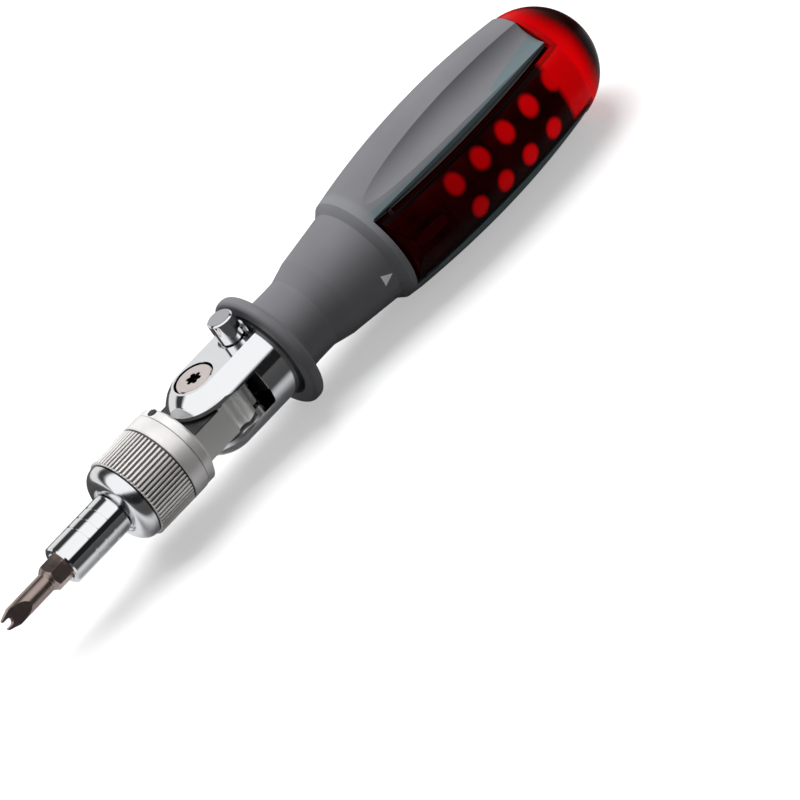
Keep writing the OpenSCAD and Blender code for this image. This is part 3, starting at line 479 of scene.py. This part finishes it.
def lit_cells(tree, x, side, z):
    """Painted light: rounds over the cells' floors, dimmer near the hinge. The lower row's show a little
    further back.
    """
    lower_shift, round_inner, round_outer, flattened = 2.1 * MM, 1.6 * MM, 2.9 * MM, 0.85
    dim_x, full_x, dim_strength = 118 * MM, 150 * MM, 0.35
    lower = maths(tree, "MULTIPLY", maths(tree, "LESS_THAN", z, 0), lower_shift)
    place = maths(tree, "SUBTRACT", maths(tree, "SUBTRACT", x, lower), CELL_X - CELL_PITCH / 2)
    place = maths(tree, "DIVIDE", place, CELL_PITCH)
    along = maths(tree, "MULTIPLY", maths(tree, "SUBTRACT", maths(tree, "FRACT", place), 0.5), CELL_PITCH)
    across = maths(tree, "MULTIPLY", maths(tree, "SUBTRACT", side, CELL_ROW), flattened)
    lit = soft_step(tree, from_axis(tree, along, across), round_inner, round_outer)
    lit = maths(tree, "MULTIPLY", maths(tree, "SUBTRACT", 1.0, lit), inside(tree, place, 0, CELLS_IN_ROW))
    fade = {"From Min": dim_x, "From Max": full_x, "To Min": dim_strength, "To Max": 1}
    strength = add(tree, "ShaderNodeMapRange", fade)
    wire(tree, x, strength.inputs["Value"])
    return maths(tree, "MULTIPLY", lit, strength.outputs[0])


def tray_material():
    """The magazine: dark over its bits, with painted light and a painted glow on the floors of its cells and
    at its end, and clear windows on its sides.
    """
    skin, wall_depth = 0.6 * MM, 1.8 * MM
    face_half, pocket_half, pocket_end = 8.1 * MM, 8.9 * MM, 121 * MM
    bright_start, bright_full, plate_start, top_depth = 161.5 * MM, 163.5 * MM, 167.9 * MM, 0.3 * MM
    upper_lit_red, lower_shaded_red = (0.62, 0.001, 0.002, 1), (0.36, 0.001, 0.002, 1)
    end_lit_red, plate_red, top_red = (0.5, 0.001, 0.001, 1), (0.5, 0.001, 0.002, 1), (0.4, 0.02, 0.025, 1)
    dark_low, dark_high, edge_dark = (0.012, 0.0, 0.0, 1), (0.045, 0.0, 0.001, 1), (0.004, 0.0, 0.0, 1)
    rim_dark, pocket_shade, painted_glow_red = (0.02, 0.0, 0.0, 1), (0.05, 0.0, 0.001, 1), (0.3, 0.0, 0.001, 1)
    made, tree, shader, base = clear_red("magazine_red", (0.55, 0.006, 0.012), see_through=0.3, rough=0.16)
    x, y, z = split(tree)
    side = maths(tree, "ABSOLUTE", z)
    # The outer face lies on the belly's long curve
    off_crown = maths(tree, "SUBTRACT", x, BELLY_X)
    curve = maths(tree, "DIVIDE", maths(tree, "MULTIPLY", off_crown, off_crown), 2 * BELLY_ARC)
    curve = maths(tree, "SUBTRACT", BELLY_RADIUS - skin, curve)
    outer = maths(tree, "GREATER_THAN", from_axis(tree, y, z), curve)

    # Outer face: dark, with a painted bright round over the floor of each cell, painted shade that dims the
    # lower row's rounds, and a painted bright end
    lit = lit_cells(tree, x, side, z)
    lit_colour = colour_mix(tree, maths(tree, "LESS_THAN", z, 0), lower_shaded_red, upper_lit_red)
    dark = colour_mix(tree, grained(tree, 900, 160)[1], dark_low, dark_high)
    face = colour_mix(tree, lit, dark, lit_colour)
    face = colour_mix(tree, maths(tree, "GREATER_THAN", side, face_half), face, edge_dark)
    bright_end = soft_step(tree, x, bright_start, bright_full)
    face = colour_mix(tree, bright_end, face, end_lit_red)
    # A painted glow on the lit rounds and the bright end
    glow = maths(tree, "MULTIPLY", outer, maths(tree, "MAXIMUM", lit, bright_end))
    glow = maths(tree, "MULTIPLY", glow, maths(tree, "LESS_THAN", side, face_half))
    glow = colour_mix(tree, glow, UNLIT, painted_glow_red)
    wire(tree, glow, shader.inputs["Emission Color"])
    shader.inputs["Emission Strength"].default_value = 1

    # Side walls with their windows, and painted shade in the pocket at the hinge
    low = maths(tree, "GREATER_THAN", from_axis(tree, y, z), maths(tree, "SUBTRACT", curve, wall_depth))
    wall = colour_mix(tree, low, tray_windows(tree, x, y, base), rim_dark)
    front = maths(tree, "LESS_THAN", x, pocket_end)
    front = maths(tree, "MULTIPLY", front, maths(tree, "LESS_THAN", side, pocket_half))
    wall = colour_mix(tree, front, wall, pocket_shade)

    base = colour_mix(tree, outer, wall, face)
    on_top = maths(tree, "GREATER_THAN", y, TRAY_TOP - top_depth)
    base = colour_mix(tree, on_top, base, top_red)
    at_end = maths(tree, "GREATER_THAN", x, plate_start)
    base = colour_mix(tree, at_end, base, plate_red)
    wire(tree, base, shader.inputs["Base Color"])
    return made


SOFT_TOUCH = grip_material()
BLACK = moulded(
    "liner_black", (0.012, 0.012, 0.013), grain=3800, strength=0.1, rough_low=0.3, rough_high=0.42)[0]
CHROME = metal("polished_chrome", PLATE, 0.02, 0.07, strength=0.015, tint=0.03)[0]
YOKE = yoke_material()
RING = ring_material()
NOSE = nose_material()
BLACKENED = metal("blackened_steel", (0.1, 0.095, 0.09), 0.3, 0.4)[0]
NICKEL = metal("satin_nickel", NICKEL_GREY, 0.28, 0.38, strength=0.06)[0]
KNUCKLE = knuckle_material()
BUTTON = button_material()
SCREW = screw_material()
STEEL = metal("bright_steel", (0.6, 0.6, 0.62), 0.18, 0.32)[0]
GUNMETAL = metal("gunmetal", (0.52, 0.41, 0.37), 0.26, 0.38, line_scale=2200, strength=0.08, tint=0.25)[0]
DARK_STEEL = metal("dark_steel", (0.25, 0.23, 0.22), 0.22, 0.34, line_scale=2200, strength=0.08, tint=0.25)[0]
BRONZE = metal("turned_bronze", (0.55, 0.38, 0.2), 0.25, 0.4)[0]
MAGNET = metal("sintered_magnet", (0.3, 0.3, 0.31), 0.35, 0.5)[0]
RED_DOME = dome_material()
RED_TRAY = tray_material()

FINISHES = {
    "grip": SOFT_TOUCH, "handle_core": BLACK, "thrust_washer": BRONZE, "holder_magnet": MAGNET,
    "magazine_tray": RED_TRAY, "magazine_cap": RED_DOME, "magazine_latch": RED_DOME, "pivot_screw": SCREW,
    "driver_bit": GUNMETAL, "nose_cap": NOSE, "bit_holder": CHROME, "ratchet_housing": NICKEL,
    "housing_pin": BLACKENED, "yoke": YOKE, "selector_ring": RING, "knuckle": KNUCKLE, "lock_button": BUTTON,
}
FINISHES.update({name: DARK_STEEL for name in nodes if name.startswith("stored_bit")})
for name, node in nodes.items():
    node.data.materials.clear()
    node.data.materials.append(FINISHES.get(name, STEEL))


# Pieces

BODY_OF = {name: body for body, group in frame["record"]["behaviour"]["bodies"].items() for name in group}


def keep(piece, node, finish):
    """Makes a finished mesh object stand for a CAD node, on the node's body and with its finish."""
    for face in piece.data.polygons:
        face.material_index = 0
    piece.data.materials.clear()
    piece.data.materials.append(finish)
    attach(piece, BODY_OF[node])
    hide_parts(node)
    return piece


def plain_mesh(piece):
    """Applies the piece's modifiers to its mesh."""
    bpy.context.view_layer.update()
    done = bpy.data.meshes.new_from_object(piece.evaluated_get(bpy.context.evaluated_depsgraph_get()))
    piece.modifiers.clear()
    piece.data = done
    return piece


def exact_normals(piece, source):
    """Gives the piece's faces the smooth normals of the CAD mesh, and its bevels those of their neighbours.
    Bevels have the second material slot."""
    inset_share, least_match, least_near = 0.03, 0.85, 0.3
    mesh = piece.data
    source.calc_loop_triangles()
    triangles = [tuple(t.vertices) for t in source.loop_triangles]
    corners = [tuple(source.corner_normals[k].vector.copy() for k in t.loops) for t in source.loop_triangles]
    places = [v.co.copy() for v in source.vertices]
    search = BVHTree.FromPolygons(places, triangles)
    wanted = [c.vector.copy() for c in mesh.corner_normals]
    at_corner = {}
    for face in mesh.polygons:
        if face.material_index:
            continue
        for k in face.loop_indices:
            vertex = mesh.loops[k].vertex_index
            spot = mesh.vertices[vertex].co.lerp(face.center, inset_share)
            place, _, hit, _ = search.find_nearest(spot)
            normal = face.normal.copy()
            if hit is not None:
                a, b, c = (places[i] for i in triangles[hit])
                sides = ((b, c), (c, a), (a, b))
                shares = [(place - first).cross(place - second).length for first, second in sides]
                found = sum((n * w for n, w in zip(corners[hit], shares)), Vector())
                if found.length > 0 and found.normalized().dot(normal) > least_match:
                    normal = found.normalized()
            wanted[k] = normal
            at_corner.setdefault(vertex, []).append(normal)
    for face in mesh.polygons:
        if not face.material_index:
            continue
        for k in face.loop_indices:
            near = at_corner.get(mesh.loops[k].vertex_index, [])
            near = [n for n in near if n.dot(face.normal) > least_near]
            if near:
                wanted[k] = sum(near, Vector()).normalized()
    mesh.normals_split_custom_set(wanted)


def soft_edged(node, width):
    """A merged copy of a CAD node with small bevels on its edges, which catch the light as real ones do."""
    weld, flat_angle, sharp_angle = 0.0005 * MM, math.radians(0.4), math.radians(40)
    segments, bevel_angle = 2, math.radians(32)
    mesh = bpy.data.meshes.new(node + "_finished")
    form = bmesh.new()
    form.from_mesh(nodes[node].data)
    bmesh.ops.remove_doubles(form, verts=form.verts, dist=weld)
    bmesh.ops.dissolve_limit(form, angle_limit=flat_angle, verts=form.verts, edges=form.edges)
    form.to_mesh(mesh)
    form.free()
    piece = bpy.data.objects.new(node + "_finished", mesh)
    bpy.context.scene.collection.objects.link(piece)
    bevel = piece.modifiers.new("edges", "BEVEL")
    bevel.width = width
    bevel.segments = segments
    bevel.limit_method = "ANGLE"
    bevel.angle_limit = bevel_angle
    bevel.use_clamp_overlap = True
    bevel.material = 1
    for finish in (STEEL, NICKEL):
        mesh.materials.append(finish)
    plain_mesh(piece)
    piece.data.shade_smooth()
    piece.data.set_sharp_from_angle(angle=sharp_angle)
    exact_normals(piece, nodes[node].data)
    return keep(piece, node, FINISHES.get(node, STEEL))


# Widths of the soft edges, in millimetres
EDGES = {"yoke": 0.3, "knuckle": 0.15, "lock_button": 0.15, "pivot_screw": 0.12, "bit_holder": 0.06,
         "driver_bit": 0.1, "magazine_tray": 0.25, "grip": 0.2, "handle_core": 0.12, "pivot_nut": 0.1}
for name, width in EDGES.items():
    soft_edged(name, width * MM)


def geometry_tree(name, inputs):
    """An empty Geometry Nodes tree with named inputs, and its input and output nodes."""
    tree = bpy.data.node_groups.new(name, "GeometryNodeTree")
    for label, kind, value in inputs:
        socket = tree.interface.new_socket(name=label, in_out="INPUT", socket_type=kind)
        if value is not None:
            socket.default_value = value
    tree.interface.new_socket(name="Geometry", in_out="OUTPUT", socket_type="NodeSocketGeometry")
    return tree, add(tree, "NodeGroupInput").outputs, add(tree, "NodeGroupOutput").inputs


def ring_array():
    """A tree that sets copies of the object's own mesh in a ring about the X axis and welds them together."""
    tree, given, out = geometry_tree("ring_array", [
        ("Geometry", "NodeSocketGeometry", None), ("Copies", "NodeSocketInt", 12),
        ("Weld Distance", "NodeSocketFloat", 0.002 * MM), ("Finish", "NodeSocketMaterial", None)])
    points = add(tree, "GeometryNodePoints")
    step = maths(tree, "DIVIDE", math.tau, given["Copies"])
    turn = maths(tree, "MULTIPLY", step, add(tree, "GeometryNodeInputIndex").outputs[0])
    spin = add(tree, "ShaderNodeCombineXYZ")
    spread = add(tree, "GeometryNodeInstanceOnPoints")
    real = add(tree, "GeometryNodeRealizeInstances")
    weld = add(tree, "GeometryNodeMergeByDistance")
    paint = add(tree, "GeometryNodeSetMaterial")
    wire(tree, given["Copies"], points.inputs["Count"])
    wire(tree, turn, spin.inputs["X"])
    wire(tree, points.outputs[0], spread.inputs["Points"])
    wire(tree, given["Geometry"], spread.inputs["Instance"])
    wire(tree, spin.outputs[0], spread.inputs["Rotation"])
    wire(tree, spread.outputs[0], real.inputs["Geometry"])
    wire(tree, real.outputs[0], weld.inputs["Geometry"])
    wire(tree, given["Weld Distance"], weld.inputs["Distance"])
    wire(tree, weld.outputs[0], paint.inputs["Geometry"])
    wire(tree, given["Finish"], paint.inputs["Material"])
    wire(tree, paint.outputs[0], out["Geometry"])
    return tree


def grown(name, mesh, tree, values):
    """An object whose mesh is grown by a Geometry Nodes tree with those named inputs, and then made plain."""
    piece = bpy.data.objects.new(name, mesh)
    bpy.context.scene.collection.objects.link(piece)
    modifier = piece.modifiers.new(name, "NODES")
    modifier.node_group = tree
    for socket in tree.interface.items_tree:
        if socket.in_out == "INPUT" and socket.name in values:
            modifier[socket.identifier] = values[socket.name]
    return plain_mesh(piece)


TEETH = 64
TOOTH_DEPTH = 0.35 * MM
# Places across one tooth as shares of its pitch, each with its share of the depth
TOOTH_SHARES = [(0.0, 0.12), (0.035, 0.0), (0.385, 0.0), (0.42, 0.12), (0.5, 0.7), (0.58, 1.0), (0.84, 1.0),
                (0.92, 0.7), (1.0, 0.12)]


def knurled_ring():
    """The direction ring: straight teeth with rounded edges, a groove, and a band with rolled edges."""
    sharp_angle = math.radians(35)
    start, seam, end, top = RING_START, RING_SEAM, RING_END, RING_RADIUS
    # The outline as distance along the axis, radius, and the share of the teeth's depth that is cut there
    outline = [
        (start, RING_BORE, 0), (start, top - 0.5 * MM, 0), (start + 0.12 * MM, top - 0.25 * MM, 0.5),
        (start + 0.35 * MM, top, 1), (seam - 0.45 * MM, top, 1), (seam - 0.2 * MM, top - 0.3 * MM, 0.3),
        (seam - 0.12 * MM, top - 0.45 * MM, 0), (seam + 0.04 * MM, top - 0.45 * MM, 0),
        (seam + 0.1 * MM, top - 0.15 * MM, 0), (seam + 0.28 * MM, top, 0), (end - 0.3 * MM, top, 0),
        (end - 0.08 * MM, top - 0.08 * MM, 0), (end, top - 0.3 * MM, 0), (end, RING_BORE, 0),
    ]
    pitch = math.tau / TEETH
    corners, faces = [], []
    for share, depth in TOOTH_SHARES:
        for along, radius, cut in outline:
            r = radius - TOOTH_DEPTH * depth * cut
            corners.append((along, r * math.cos(share * pitch), r * math.sin(share * pitch)))
    rows = len(outline)
    for column in range(len(TOOTH_SHARES) - 1):
        for row in range(rows):
            a, b = column * rows + row, column * rows + (row + 1) % rows
            faces.append((a, b, b + rows, a + rows))
    wedge = bpy.data.meshes.new("knurl_wedge")
    wedge.from_pydata(corners, [], faces)
    piece = grown("knurled_ring", wedge, ring_array(), {"Copies": TEETH, "Finish": RING})
    form = bmesh.new()
    form.from_mesh(piece.data)
    bmesh.ops.recalc_face_normals(form, faces=form.faces)
    form.to_mesh(piece.data)
    form.free()
    piece.data.shade_smooth()
    piece.data.set_sharp_from_angle(angle=sharp_angle)
    return keep(piece, "selector_ring", RING)


knurled_ring()


# Studio

# A wide floor just under the part, its reach in metres
floor_mesh = bpy.data.meshes.new("floor")
reach, floor_gap = 3, 0.05 * MM
floor_z = cad_low.z - floor_gap
floor_mesh.from_pydata([(-reach, -reach, floor_z), (reach, -reach, floor_z), (reach, reach, floor_z),
                        (-reach, reach, floor_z)], [], [(0, 1, 2, 3)])
floor = bpy.data.objects.new("floor", floor_mesh)
bpy.context.scene.collection.objects.link(floor)
floor_material, tree, shader = material("pale_floor")
shader.inputs["Roughness"].default_value = 0.9
rays = add(tree, "ShaderNodeLightPath")
# In reflections the floor is grey under the part, with a dark card beside it. Its colour is paler for the
# eye than for the light that falls on the part from it.
card_start, card_full = 17 * MM, 32 * MM
under_grey, card_grey = (0.5, 0.5, 0.51, 1), (0.03, 0.03, 0.03, 1)
eye_grey, light_grey, own_light = (0.55, 0.55, 0.55, 1), (0.15, 0.15, 0.15, 1), (0.42, 0.42, 0.42, 1)
card = soft_step(tree, maths(tree, "ABSOLUTE", split(tree)[1]), card_start, card_full)
mirrored = colour_mix(tree, card, under_grey, card_grey)
shown = colour_mix(tree, rays.outputs["Is Diffuse Ray"], eye_grey, light_grey)
wire(tree, colour_mix(tree, rays.outputs["Is Glossy Ray"], shown, mirrored), shader.inputs["Base Color"])
# Part of its white is its own light, so that the shadow on it stays pale
glow = colour_mix(tree, rays.outputs["Is Camera Ray"], UNLIT, own_light)
wire(tree, glow, shader.inputs["Emission Color"])
shader.inputs["Emission Strength"].default_value = 1
floor_mesh.materials.append(floor_material)

# The camera looks from where the photograph was taken: its right, up and backward directions in the row frame
RIGHT = Vector((0.6534, -0.5687, -0.4997)).normalized()
BACK = Vector((-0.319, -0.805, 0.499)).normalized()
UP = BACK.cross(RIGHT).normalized()
RIGHT = UP.cross(BACK).normalized()

# White to the eye, plain for the light, and for reflections a tall white screen between dark ones. Each stop
# is a share of the half turn over the part, from the camera's side to the far side, with its brightness.
SCREEN_STOPS = (
    (0, 0.012), (0.17, 0.012), (0.21, 1), (0.56, 1), (0.62, 0.04), (0.75, 0.04), (0.81, 0.8), (1, 0.8))
BLUE_CAST = 1.01
ROOM_LIGHT = (0.19, 0.19, 0.195, 1)
WHITE = (1, 1, 1, 1)
world = bpy.data.worlds.new("studio")
bpy.context.scene.world = world
world.use_nodes = True
tree = world.node_tree
sky = tree.nodes["Background"]
rays = add(tree, "ShaderNodeLightPath")
direction = add(tree, "ShaderNodeTexCoord").outputs["Generated"]
toward = add(tree, "ShaderNodeVectorMath", operation="DOT_PRODUCT")
toward.inputs[1].default_value = Vector((BACK.x, BACK.y, 0)).normalized()
wire(tree, direction, toward.inputs[0])
parts = add(tree, "ShaderNodeSeparateXYZ")
wire(tree, direction, parts.inputs[0])
height = maths(tree, "DIVIDE", maths(tree, "ARCTAN2", parts.outputs[2], toward.outputs["Value"]), math.pi)
screens = add(tree, "ShaderNodeValToRGB")
stops = screens.color_ramp.elements
for index, (place, tone) in enumerate(SCREEN_STOPS):
    between = 0 < index < len(SCREEN_STOPS) - 1
    stop = stops.new(place) if between else stops[-1 if index else 0]
    stop.position, stop.color = place, (tone, tone, tone * BLUE_CAST, 1)
wire(tree, height, screens.inputs[0])
seen = colour_mix(tree, rays.outputs["Is Glossy Ray"], ROOM_LIGHT, screens.outputs[0])
seen = colour_mix(tree, rays.outputs["Is Camera Ray"], seen, WHITE)
seen = colour_mix(tree, rays.outputs["Is Transmission Ray"], seen, WHITE)
wire(tree, seen, sky.inputs[0])


def lamp(name, place, aim, size, power):
    """A square lamp that faces a point and isn't seen itself."""
    light = bpy.data.lights.new(name, "AREA")
    light.energy = power
    light.size = size
    holder = bpy.data.objects.new(name, light)
    holder.location = place
    holder.rotation_euler = (Vector(aim) - Vector(place)).to_track_quat("-Z", "Y").to_euler()
    holder.visible_camera = False
    holder.visible_glossy = False
    bpy.context.scene.collection.objects.link(holder)


aim = (80 * MM, 0, 0)
lamp("key", (0.2, 0.28, 1.05), aim, size=1, power=22)
lamp("fill", (0.5, -0.95, 0.6), aim, size=0.8, power=1.5)

# A long lens from far off: the sensor is in millimetres, and the field is the width that the picture shows
SENSOR = 36
DISTANCE = 5
FIELD = 183.5 * MM
CENTRE = Vector((76.87, -37.76, -11.73)) * MM
camera = bpy.data.objects.new("camera", bpy.data.cameras.new("camera"))
camera.data.sensor_width = SENSOR
camera.data.lens = SENSOR * DISTANCE / FIELD
camera.data.clip_start = 0.01
camera.matrix_world = Matrix((RIGHT, UP, BACK)).transposed().to_4x4()
camera.location = CENTRE + BACK * DISTANCE
bpy.context.scene.collection.objects.link(camera)
bpy.context.scene.camera = camera
bpy.context.scene.view_settings.view_transform = "Standard"
